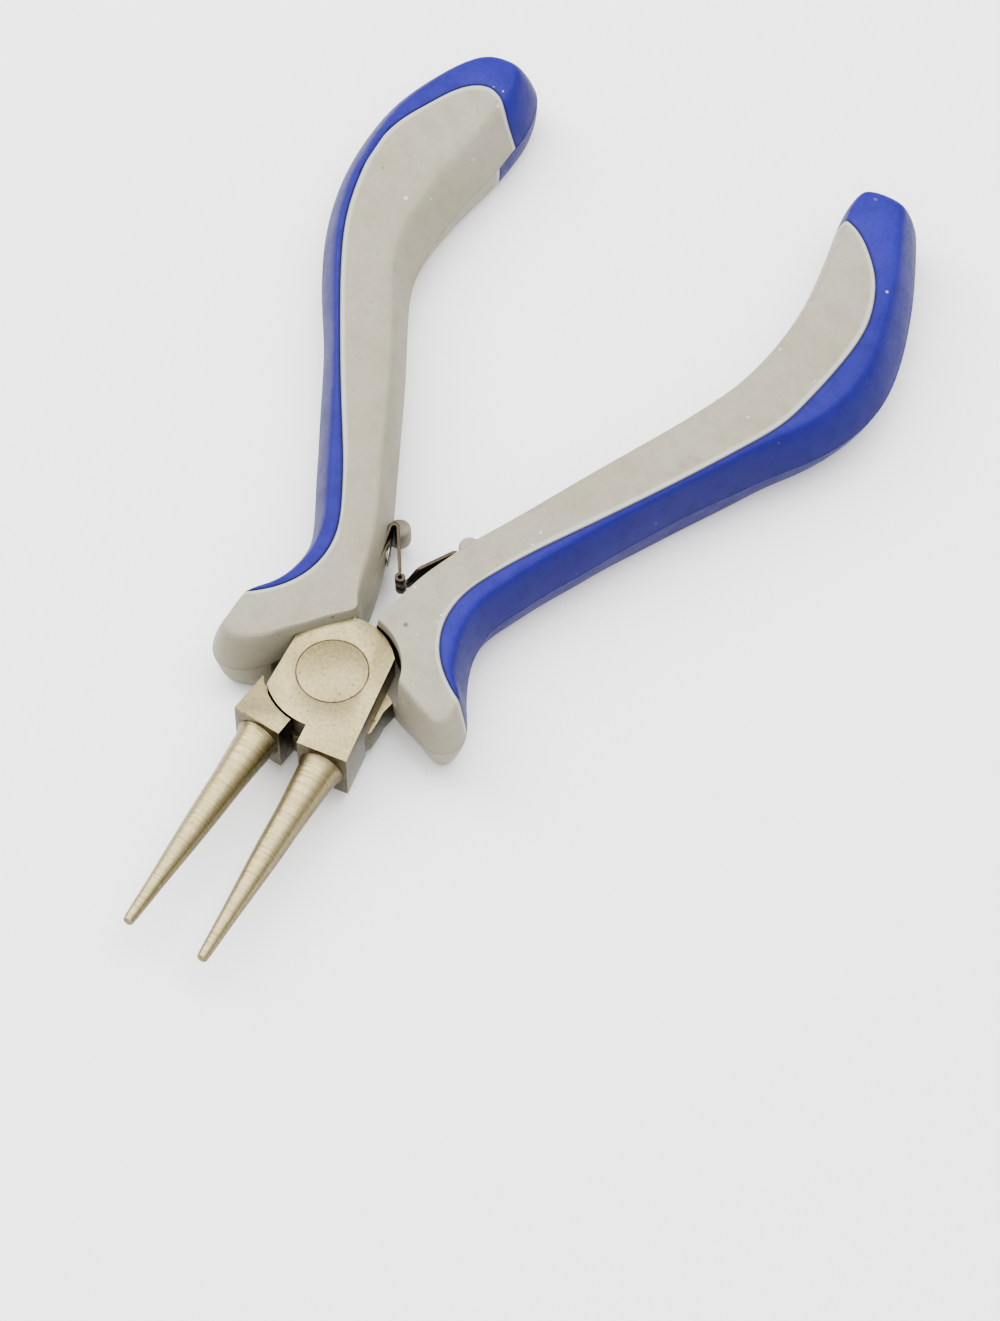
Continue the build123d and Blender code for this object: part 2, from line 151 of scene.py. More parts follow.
def piece_of(c, x0, x1):
    """the part of closed curve c from index x0 forward to x1"""
    n = len(c)
    if x1 < x0:
        x1 += n
    idx = [i % n for i in range(int(math.floor(x0)) + 1, int(math.floor(x1)) + 1)]
    return np.vstack([[at(c, x0)], c[idx], [at(c, x1 % n)]])


def part_of(line, x0, x1):
    if x1 < x0:
        return part_of(line, x1, x0)[::-1]
    idx = list(range(int(math.floor(x0)) + 1, int(math.floor(x1)) + 1))
    return np.vstack([[at(line, x0, False)], line[idx], [at(line, x1, False)]])


def pchip(xs, ys, x):
    xs, ys, x = np.asarray(xs, float), np.asarray(ys, float), np.asarray(x, float)
    h = np.diff(xs)
    d = np.diff(ys) / h
    m = np.zeros(len(xs))
    m[0], m[-1] = d[0], d[-1]
    for i in range(1, len(xs) - 1):
        m[i] = 0 if d[i - 1] * d[i] <= 0 else 2 * d[i - 1] * d[i] / (d[i - 1] + d[i])
    k = np.clip(np.searchsorted(xs, x, side="right") - 1, 0, len(xs) - 2)
    t = (x - xs[k]) / h[k]
    return ((2 * t ** 3 - 3 * t ** 2 + 1) * ys[k] + (t ** 3 - 2 * t ** 2 + t) * h[k] * m[k]
            + (-2 * t ** 3 + 3 * t ** 2) * ys[k + 1] + (t ** 3 - t ** 2) * h[k] * m[k + 1])


def join_corner(segments, r):
    """closed loop from segments that meet end to end, every corner rounded by r"""
    cut = [trim(s, r) for s in segments]
    out = []
    for i, s in enumerate(cut):
        nxt = cut[(i + 1) % len(cut)]
        corner = segments[i][-1]
        out.append(s)
        out.append(np.array([0.25 * s[-1] + 0.5 * corner + 0.25 * nxt[0]]))
    return np.vstack(out)


# ------------------------------------------------------------------ mesh tools
def mesh_object(name, verts, faces, angle=32):
    me = bpy.data.meshes.new(name)
    me.from_pydata([tuple(v) for v in verts], [], faces)
    me.update()
    ob = bpy.data.objects.new(name, me)
    bpy.context.scene.collection.objects.link(ob)
    bm = bmesh.new()
    bm.from_mesh(me)
    bmesh.ops.remove_doubles(bm, verts=bm.verts, dist=2e-7)
    big = [f for f in bm.faces if len(f.verts) > 8]
    if big:
        bmesh.ops.triangulate(bm, faces=big)
    bmesh.ops.recalc_face_normals(bm, faces=bm.faces)
    bm.to_mesh(me)
    bm.free()
    me.polygons.foreach_set("use_smooth", [True] * len(me.polygons))
    me.set_sharp_from_angle(angle=math.radians(angle))
    me.update()
    return ob


def stack(rings, base=0, cap=True):
    """verts and faces of a stack of equal-length rings (each n x 3)"""
    n = len(rings[0])
    verts = np.vstack(rings)
    faces = []
    for j in range(len(rings) - 1):
        o0, o1 = base + j * n, base + (j + 1) * n
        for i in range(n):
            k = (i + 1) % n
            faces.append((o0 + i, o0 + k, o1 + k, o1 + i))
    if cap:
        faces.append(tuple(base + i for i in range(n))[::-1])
        faces.append(tuple(base + (len(rings) - 1) * n + i for i in range(n)))
    return verts, faces


def lift(loop2, z, flipped):
    """plan loop (a, s) at height z above the mid-plane to row metres"""
    x = -loop2[:, 1] * K
    y = loop2[:, 0] * K + PY
    if flipped:
        x, z = -x, -z
    return np.stack([x + PX, y, np.full(len(x), MZ + z)], 1)


# ------------------------------------------------------------------ grips
# rows are (a, s, inset of the flat face on the plate side, inset on the other side)
OUTLINE = {
    "left": [
        (-3.5, 13.2, 1.7, 1.4), (-2.7, 14.5, 1.7, 1.3), (-1.2, 15.3, 1.7, 1.3), (0.8, 15.35, 1.7, 1.4), (3.2, 14.75, 1.7, 1.6), (6.0, 13.65, 1.8, 1.7),
        (9.6, 12.15, 1.8, 1.7), (13.2, 11.7, 1.7, 1.6), (16.2, 12.3, 1.7, 1.6), (19.2, 13.65, 1.7, 1.6), (22.5, 15.4, 1.7, 1.6),
        (27.0, 17.7, 1.7, 1.6), (31.6, 20.1, 1.7, 1.6), (36.2, 22.45, 1.7, 1.6), (40.8, 24.95, 1.7, 1.6), (45.3, 27.8, 1.8, 1.7), (49.8, 30.4, 1.9, 1.8),
        (54.6, 32.7, 2.1, 2.0), (59.9, 34.5, 2.4, 2.2), (65.5, 35.55, 2.6, 2.3), (70.5, 35.7, 2.7, 2.4), (75.4, 35.1, 2.7, 2.4), (79.3, 33.65, 2.5, 2.3),
        (82.2, 32.2, 2.3, 2.2), (84.6, 30.7, 2.2, 2.1), (86.3, 29.1, 2.1, 2.0), (87.3, 27.3, 2.0, 2.0), (87.75, 25.1, 2.0, 2.0), (87.6, 22.7, 2.2, 2.0),
        (86.4, 20.9, 2.5, 1.8), (84.1, 19.7, 2.8, 1.7), (81.2, 19.1, 3.1, 1.6), (77.9, 19.05, 3.4, 1.6), (73.5, 19.45, 3.5, 1.6), (68.4, 20.2, 3.4, 1.6), (63.3, 20.65, 3.1, 1.6),
        (58.5, 20.6, 3.0, 1.7), (54.0, 20.0, 2.4, 1.7), (50.0, 18.4, 1.9, 1.6), (45.6, 16.15, 1.6, 1.5), (41.0, 13.75, 1.5, 1.5), (36.3, 11.45, 1.6, 1.5),
        (31.6, 9.2, 1.6, 1.5), (27.0, 7.0, 1.7, 1.4), (22.5, 4.9, 1.6, 1.0), (18.5, 3.4, 1.5, 0.8), (15.6, 2.6, 1.4, 0.6), (13.0, 2.05, 1.2, 0.5),
        (11.0, 1.7, 0.9, 0.45), (9.4, 1.4, 0.5, 0.4), (8.1, 1.1, 0.2, 0.4), (6.7, 1.9, 0.3, 0.4), (5.2, 3.2, 0.5, 0.4), (3.8, 4.4, 0.5, 0.4), (2.4, 5.6, 0.5, 0.4),
        (1.0, 6.75, 0.7, 0.4), (-0.6, 7.75, 0.9, 0.45), (-1.8, 8.8, 1.2, 0.6), (-2.8, 10.0, 1.5, 1.0), (-3.5, 11.5, 1.7, 1.3),
    ],
    "right": [
        (-2.0, 14.3, 1.65, 1.2), (-1.5, 15.6, 1.65, 1.3), (-0.4, 16.5, 1.65, 1.4), (1.0, 16.75, 1.65, 1.6), (2.8, 16.1, 1.7, 1.7), (4.9, 14.85, 1.8, 1.8),
        (7.1, 13.7, 1.8, 1.8), (9.6, 12.7, 1.7, 1.7), (12.4, 12.15, 1.7, 1.7), (15.6, 12.3, 1.7, 1.7), (19.0, 13.6, 1.7, 1.7), (22.5, 15.15, 1.7, 1.7),
        (27.0, 17.45, 1.7, 1.7), (31.6, 19.75, 1.7, 1.7), (36.2, 22.15, 1.7, 1.7), (40.8, 24.7, 1.7, 1.7), (45.3, 27.6, 1.8, 1.8), (49.8, 30.5, 1.9, 1.9),
        (54.6, 33.9, 2.1, 2.2), (59.9, 36.5, 2.4, 2.6), (65.5, 37.55, 2.6, 2.9), (70.8, 37.05, 2.7, 2.9), (76.0, 35.7, 2.7, 2.8), (81.0, 33.95, 2.5, 2.5),
        (85.2, 32.15, 2.3, 2.3), (88.7, 30.5, 2.1, 2.1), (91.1, 28.8, 2.0, 1.9), (91.85, 26.4, 2.0, 1.9), (91.6, 23.5, 2.0, 1.9), (90.4, 21.65, 2.0, 1.8),
        (87.7, 20.95, 2.4, 1.5), (84.0, 21.4, 1.8, 1.5), (79.2, 22.2, 1.5, 1.5), (72.8, 22.9, 1.5, 1.5), (67.0, 22.85, 1.5, 1.5), (62.0, 22.25, 1.7, 1.5),
        (57.2, 21.1, 2.5, 1.5), (53.0, 19.45, 2.2, 1.5), (49.2, 17.7, 1.9, 1.5), (45.0, 15.6, 1.6, 1.5), (41.0, 13.55, 1.5, 1.5), (36.3, 11.2, 1.6, 1.5),
        (31.6, 8.9, 1.6, 1.5), (27.0, 6.7, 1.7, 1.4), (22.5, 4.7, 1.6, 1.1), (18.5, 3.35, 1.5, 0.8), (15.6, 2.5, 1.4, 0.6), (13.0, 1.95, 1.3, 0.5),
        (11.0, 1.65, 0.9, 0.45), (9.4, 1.4, 0.5, 0.4), (8.1, 1.1, 0.2, 0.4), (6.7, 1.9, 0.3, 0.4), (5.2, 3.2, 0.5, 0.4), (3.8, 4.4, 0.5, 0.4), (2.4, 5.7, 0.5, 0.4),
        (1.4, 7.1, 0.7, 0.6), (0.5, 8.6, 1.0, 0.8), (-0.35, 10.1, 1.4, 0.9), (-1.2, 11.7, 1.6, 1.0), (-1.8, 13.0, 1.65, 1.1),
    ],
}
BACK = [(1.2, 19.0), (2.4, 16.0), (4.2, 13.0), (7, 10.2), (10, 8.7), (13, 8.25), (16, 8.65), (20, 10.3), (25, 13.0), (30, 16.05),
        (37, 20.3), (43, 23.8), (50, 27.65), (55, 29.95)]
BORDER = {       # the colour border on the plate side and on the other side
    "left": (BACK + [(62, 31.9), (67.3, 32.4), (71.8, 31.5), (75.1, 30.0), (78.3, 28.3), (80.3, 26.5), (81.0, 24.7), (80.4, 22.8), (79.1, 21.2), (78.2, 20.0), (77.4, 17.5), (77.2, 15.5)],
             BACK + [(62, 31.9), (67.3, 32.4), (71.8, 31.7), (75.2, 30.2), (77.9, 28.3), (79.2, 26.4), (79.0, 24.6), (77.7, 22.8), (76.0, 21.2), (74.6, 19.8), (73.2, 17.5), (72.8, 15.5)]),
    "right": (BACK + [(58.6, 30.9), (66.6, 32.2), (71.6, 32.3), (75.5, 31.4), (78.3, 30.0), (80.9, 28.2), (83.0, 26.0), (84.3, 24.0), (84.4, 22.0), (83.4, 20.2), (82.6, 18.0), (82.4, 16.0)],
              BACK + [(58.6, 30.8), (66.6, 32.0), (71.6, 32.05), (75.5, 31.1), (78.3, 29.8), (80.7, 28.0), (82.7, 26.0), (84.0, 24.0), (84.6, 22.0), (84.9, 20.2), (85.1, 18.0), (85.1, 16.0)]),
}
PROFILE_F = [0.0, 0.30, 0.62, 0.86, 0.96, 1.0]
PROFILE_K = [0.0, 0.20, 0.50, 0.80, 1.02, 1.28]
PROFILE_STEEP = [0.0, 0.02, 0.14, 0.52, 0.86, 1.28]
LEVELS = [0.018, 0.05, 0.10, 0.18, 0.27, 0.37, 0.47, 0.57, 0.66, 0.74, 0.80, 0.85, 0.89, 0.92, 0.945, 0.963, 0.977, 0.988, 0.996, 1.0]
CLEAR_R = 7.8 / 0.985
BORDER_R = 0.20              # rounding beside the colour border, mm
CORNER_R = 0.10
LUG = {"left": (23.0, 4.35, 1.35), "right": (22.6, 5.35, 1.3)}


def restep(loop, m):
    """the same closed loop with m points, keeping the spacing of each part"""
    t = np.linspace(0, len(loop), m, endpoint=False)
    c = np.vstack([loop, loop[:1]])
    return np.stack([np.interp(t, np.arange(len(c)), c[:, i]) for i in range(2)], 1)


def make_grip(side, flipped):
    pos, tan = periodic_spline(OUTLINE[side], 2600)
    nrm = np.stack([tan[:, 1], -tan[:, 0]], 1)
    nrm /= np.linalg.norm(nrm, axis=1)[:, None]
    n = len(pos)
    ker = np.ones(41) / 41
    # no inset may be larger than the tightest convex curve allows
    step = np.linalg.norm(np.roll(pos[:, :2], -1, axis=0) - np.roll(pos[:, :2], 1, axis=0), axis=1)
    turn = np.angle(np.exp(1j * (np.arctan2(np.roll(tan[:, 1], -1), np.roll(tan[:, 0], -1)) - np.arctan2(np.roll(tan[:, 1], 1), np.roll(tan[:, 0], 1)))))
    kappa = turn / step * np.sign(turn.sum())
    limit = 0.82 / (1.28 * np.maximum(kappa, 0.02))
    limit = np.min([np.roll(limit, i) for i in range(-14, 15, 2)], axis=0)
    sides = {}
    for up in (True, False):
        inset = pos[:, 2 if up else 3].copy()
        line = open_spline(BORDER[side][0 if up else 1], 900)
        # the flat face stays just outside the colour border along the back
        idx = np.nonzero((pos[:, 0] > 2.5) & (pos[:, 0] < 63) & (np.arange(n) < n * 0.45))[0]
        dist = np.array([np.min(np.linalg.norm(line - pos[i, :2], axis=1)) for i in idx])
        inset[idx] = np.minimum(inset[idx], np.maximum((dist - 0.22) / 1.28, 0.75))
        inset = np.minimum(inset, limit)
        inset = np.convolve(np.concatenate([inset[-20:], inset, inset[:20]]), ker, mode="valid")
        tl = np.gradient(line, axis=0)
        ln = np.stack([-tl[:, 1], tl[:, 0]], 1)
        ln /= np.linalg.norm(ln, axis=1)[:, None]     # to the left of the line's run: the blue side
        sides[up] = (inset, line, ln)
    g0 = np.hypot(pos[:, 0], pos[:, 1]) - CLEAR_R
    cr0 = [i for i in range(n) if g0[i] * g0[(i + 1) % n] < 0 and i > n * 0.6]
    greys, blues = [], []
    for f in [-v for v in LEVELS[::-1]] + [0.0] + LEVELS:
        inset, line, ln = sides[f >= 0]
        k = float(pchip(PROFILE_F, PROFILE_K, abs(f)))
        kk = np.full(n, k)
        if side == "left" and f < 0:
            u = np.arange(n) / n
            w = np.clip((u - 0.44) / 0.04, 0, 1) * np.clip((0.64 - u) / 0.06, 0, 1)
            kk = k * (1 - w) + float(pchip(PROFILE_F, PROFILE_STEEP, abs(f))) * w
        ring = pos[:, :2] + nrm * (inset * kk + (0.07 if f == 0 else 0.0))[:, None]
        depth = (1 - abs(f)) * HALF_T * 1e3
        d = 0.0 if depth >= BORDER_R else BORDER_R - math.sqrt(max(BORDER_R ** 2 - (BORDER_R - depth) ** 2, 0))
        line_g, line_b = line - ln * d, line + ln * d
        x = sorted(crossings(ring, line_g), key=lambda v: v[1])
        (ia, ja), (ib, jb) = x[0], x[-1]
        if f < 0:
            r = CLEAR_R + d
            g = np.hypot(ring[:, 0], ring[:, 1]) - r
            cr = [i + g[i] / (g[i] - g[(i + 1) % n]) for i in range(n) if g[i] * g[(i + 1) % n] < 0 and i > n * 0.6]
            i2, i1 = cr[0], cr[-1]
            p2, p1 = at(ring, i2), at(ring, i1)
            t2, t1 = math.atan2(p2[1], p2[0]), math.atan2(p1[1], p1[0])
            arc = np.array([(r * math.cos(t), r * math.sin(t)) for t in np.linspace(t2, t1, 40)])
        else:
            i2, i1 = float(cr0[0]) + 0.5, float(cr0[-1]) + 0.5
            arc = resample(piece_of(ring, i2, i1), 40)
        segs = [resample(piece_of(ring, ib, i2), 300), arc, resample(piece_of(ring, i1, ia), 110), resample(part_of(line_g, ja, jb), 260)]
        greys.append((f, join_corner(segs, CORNER_R)))
        x = sorted(crossings(ring, line_b), key=lambda v: v[1])
        (ia, ja), (ib, jb) = x[0], x[-1]
        segs = [resample(piece_of(ring, ia, ib), 340), resample(part_of(line_b, jb, ja), 260)]
        blues.append((f, join_corner(segs, CORNER_R)))
    obs = []
    for kind, loops in (("grey", greys), ("blue", blues)):
        m = min(len(l) for _, l in loops)
        rings = [lift(restep(l, m), f * HALF_T, flipped) for f, l in loops]
        verts, faces = stack(rings)
        if kind == "grey":
            # moulded boss beside the spring
            la, ls, lr = LUG[side]
            lug = []
            for dr, z in ((0.7, -3.55), (0.4, -3.50), (0.18, -3.38), (0.05, -3.18), (0.0, -2.9), (0.0, -1.1), (0.05, -0.82), (0.18, -0.62), (0.4, -0.50), (0.7, -0.45)):
                rr = (lr - dr) / 0.985
                loop = np.array([(la + rr * math.cos(t), ls + rr * math.sin(t)) for t in np.linspace(0, 2 * math.pi, 48, endpoint=False)])
                lug.append(lift(loop, z * 1e-3, flipped))
            v2, f2 = stack(lug, base=len(verts))
            verts = np.vstack([verts, v2])
            faces = faces + f2
        ob = mesh_object(f"{side}_grip_{kind}_skin", verts, faces)
        # distance from the colour border, for the painted sheen on its lip, the dark border line, the painted shade on
        # the blue beside it and the painted crevice shade kept away from it
        co = np.empty(len(ob.data.vertices) * 3)
        ob.data.vertices.foreach_get("co", co)
        co = co.reshape(-1, 3)
        sx, sz = (-1.0, -1.0) if flipped else (1.0, 1.0)
        plan = np.stack([(co[:, 1] - PY) / K, -(co[:, 0] - PX) * sx / K], 1)
        high = (co[:, 2] - MZ) * sz >= 0
        rim = np.full(len(co), 5.0)
        for up in (True, False):
            line = sides[up][1]
            own = np.nonzero(high == up)[0]
            for part in np.array_split(own, max(1, len(own) // 2000)):
                rim[part] = np.min(np.hypot(plan[part, 0][:, None] - line[None, :, 0], plan[part, 1][:, None] - line[None, :, 1]), axis=1)
        at_ = ob.data.attributes.new("rim", "FLOAT", "POINT")
        at_.data.foreach_set("value", np.minimum(rim, 5.0).astype(np.float32))
        obs.append(ob)
    return obs


# ------------------------------------------------------------------ shader tools
class Mat:
    def __init__(self, name):
        self.m = bpy.data.materials.new(name)
        self.m.use_nodes = True
        self.nt = self.m.node_tree
        self.nt.nodes.clear()
        self.out = self.nt.nodes.new("ShaderNodeOutputMaterial")
        self.bsdf = self.nt.nodes.new("ShaderNodeBsdfPrincipled")
        self.nt.links.new(self.bsdf.outputs[0], self.out.inputs[0])
        tc = self.nt.nodes.new("ShaderNodeTexCoord")
        self.pos = tc.outputs["Object"]
        sep = self.nt.nodes.new("ShaderNodeSeparateXYZ")
        self.nt.links.new(tc.outputs["Normal"], sep.inputs[0])
        self.nz = sep.outputs["Z"]

    def link(self, a, b):
        self.nt.links.new(a, b)

    def set(self, name, value):
        s = self.bsdf.inputs[name]
        if hasattr(value, "links") or isinstance(value, bpy.types.NodeSocket):
            self.link(value, s)
        else:
            s.default_value = value

    def node(self, kind, ins=None, **props):
        n = self.nt.nodes.new(kind)
        for k, v in props.items():
            setattr(n, k, v)
        for k, v in (ins or {}).items():
            s = n.inputs[k]
            if isinstance(v, bpy.types.NodeSocket):
                self.link(v, s)
            else:
                s.default_value = v
        return n

    def noise(self, scale, detail=4, rough=0.5, vec=None, distort=0.0):
        n = self.node("ShaderNodeTexNoise", {"Vector": vec or self.pos, "Scale": scale, "Detail": detail, "Roughness": rough, "Distortion": distort})
        return n.outputs["Fac"]

    def red(self, colour):
        return self.node("ShaderNodeSeparateColor", {"Color": colour}).outputs[0]

    def voronoi(self, scale, vec=None, feature="F1"):
        n = self.node("ShaderNodeTexVoronoi", {"Vector": vec or self.pos, "Scale": scale}, feature=feature)
        return n

    def ramp(self, fac, stops, interp="LINEAR"):
        n = self.node("ShaderNodeValToRGB", {"Fac": fac})
        cr = n.color_ramp
        cr.interpolation = interp
        while len(cr.elements) < len(stops):
            cr.elements.new(0.5)
        for e, (p, c) in zip(cr.elements, stops):
            e.position = p
            e.color = c if len(c) == 4 else (*c, 1)
        return n.outputs["Color"]

    def grey(self, fac, a, b, x0=0.0, x1=1.0):
        """map x0..x1 to a..b"""
        n = self.node("ShaderNodeMapRange", {"Value": fac, "From Min": x0, "From Max": x1, "To Min": a, "To Max": b})
        return n.outputs[0]

    def math(self, op, a, b=0.0):
        n = self.node("ShaderNodeMath", operation=op)
        for i, v in enumerate((a, b)):
            if isinstance(v, bpy.types.NodeSocket):
                self.link(v, n.inputs[i])
            else:
                n.inputs[i].default_value = v
        return n.outputs[0]

    def mix(self, fac, a, b, mode="MIX"):
        n = self.nt.nodes.new("ShaderNodeMix")
        n.data_type = "RGBA"
        n.blend_type = mode
        for i, v in ((0, fac), (6, a), (7, b)):
            if isinstance(v, bpy.types.NodeSocket):
                self.link(v, n.inputs[i])
            else:
                n.inputs[i].default_value = v if i == 0 or len(v) == 4 else (*v, 1)
        return n.outputs[2]

    def bump(self, height, strength, dist, normal=None):
        n = self.node("ShaderNodeBump", {"Height": height, "Strength": strength, "Distance": dist})
        if normal is not None:
            self.link(normal, n.inputs["Normal"])
        return n.outputs[0]

    def dot(self, d):
        n = self.node("ShaderNodeVectorMath", {0: self.pos, 1: d}, operation="DOT_PRODUCT")
        return n.outputs["Value"]

    def scaled(self, v):
        n = self.node("ShaderNodeVectorMath", {0: self.pos, 1: v}, operation="MULTIPLY")
        return n.outputs["Vector"]

    def dist(self, p):
        n = self.node("ShaderNodeVectorMath", {0: self.pos, 1: p}, operation="DISTANCE")
        return n.outputs["Value"]


def rubber(name, base, light, dark, rough, spots, shine=0.3):
    """moulded two-shot rubber: soft cloud of tone, fine grain, dust, small marks; painted shade on sideways faces, in
    creases, on the blue beside the colour border and in the listed lug spots; a painted sheen on the grey lip
    """
    m = Mat(name)
    cloud = m.noise(55, 5, 0.55)
    fine = m.noise(2600, 3, 0.6)
    mid = m.noise(420, 4, 0.6)
    col = m.mix(m.grey(cloud, 0.0, 1.0, 0.35, 0.68), (*base, 1), (*light, 1))
    col = m.mix(m.grey(mid, 0.0, 0.34, 0.47, 0.72), col, (*dark, 1))
    col = m.mix(m.grey(fine, 0.0, 0.30, 0.52, 0.72), col, (*dark, 1))
    # dust: sparse pale specks
    v = m.voronoi(900)
    pick = m.grey(m.red(v.outputs["Color"]), 0.0, 1.0, 0.965, 0.985)
    speck = m.math("MULTIPLY", m.grey(v.outputs["Distance"], 1.0, 0.0, 0.10, 0.20), pick)
    col = m.mix(m.math("MULTIPLY", speck, 0.45), col, (0.72, 0.70, 0.66, 1))
    v2 = m.voronoi(430, vec=m.scaled((1.0, 1.2, 0.9)))
    pick2 = m.grey(m.red(v2.outputs["Color"]), 0.0, 1.0, 0.972, 0.985)
    dirt = m.math("MULTIPLY", m.grey(v2.outputs["Distance"], 1.0, 0.0, 0.05, 0.13), pick2)
    col = m.mix(m.math("MULTIPLY", dirt, 0.7), col, (0.12, 0.09, 0.06, 1))
    # listed spots; the two large dark blots on the left grip's lug are painted shade
    for p, r, c, s in spots:
        blot = m.grey(m.math("ADD", m.dist(p), m.grey(mid, -r * 0.3, r * 0.3, 0.3, 0.7)), s, 0.0, r * 0.45, r)
        col = m.mix(blot, col, (*c, 1))
    # a thin dark line in the border groove at the mid-plane
    zz = m.node("ShaderNodeSeparateXYZ", {0: m.pos}).outputs["Z"]
    off = m.math("ABSOLUTE", m.math("SUBTRACT", zz, MZ))
    line = m.grey(off, 0.30 if shine > 0.2 else 0.60, 0.0, 0.00003, 0.00016)
    col = m.mix(line, col, (dark[0] * 0.45, dark[1] * 0.45, dark[2] * 0.45, 1))
    # painted shade: faces that turn sideways or downwards are darkened toward the dark tone
    if shine > 0.2:
        col = m.mix(m.grey(m.nz, 0.30, 0.0, 0.15, 0.90), col, (*dark, 1))
    else:
        col = m.mix(m.grey(m.nz, 0.62, 0.0, 0.30, 0.95), col, (*dark, 1))
    rim = m.node("ShaderNodeAttribute", attribute_name="rim", attribute_type="GEOMETRY").outputs["Fac"]
    if shine > 0.2:
        # painted sheen: a pale cool band along the grey's rounded lip beside the colour border; below it a dark line
        # right at the border
        lip_sheen = m.math("MULTIPLY", m.grey(rim, 0.0, 1.0, 0.10, 0.20), m.grey(rim, 0.75, 0.0, 0.38, 0.62))
        col = m.mix(lip_sheen, col, (0.36, 0.37, 0.37, 1))
        col = m.mix(m.grey(rim, 0.55, 0.0, 0.06, 0.16), col, (0.10, 0.09, 0.08, 1))
    else:
        # painted shade: the blue darkened within about 0.4 mm of the colour border groove
        col = m.mix(m.grey(rim, 0.75, 0.0, 0.10, 0.42), col, (*dark, 1))
    # painted shade: darker where ambient occlusion finds creases, recesses and contacts with other parts, mottled by
    # noise, kept off the colour border
    ao = m.node("ShaderNodeAmbientOcclusion", {"Distance": 0.0009}, samples=6).outputs["AO"]
    crevice_shade = m.math("MULTIPLY", m.grey(m.math("ADD", ao, m.grey(mid, -0.10, 0.10, 0.3, 0.7)), 0.85, 0.0, 0.30, 0.62), m.grey(rim, 0.0, 1.0, 0.3, 0.8))
    col = m.mix(crevice_shade, col, (dark[0] * 0.42, dark[1] * 0.36, dark[2] * 0.30, 1))
    m.set("Base Color", col)
    m.set("Roughness", m.grey(m.math("ADD", m.math("MULTIPLY", mid, 0.5), m.math("MULTIPLY", fine, 0.5)), rough - 0.08, rough + 0.10, 0.3, 0.7))
    m.set("IOR", 1.46)
    m.set("Specular IOR Level", shine)
    n1 = m.bump(fine, 0.16, 0.00006)
    n2 = m.bump(mid, 0.12, 0.0002, n1)
    n3 = m.bump(cloud, 0.10, 0.0012, n2)
    m.set("Normal", n3)
    return m.m


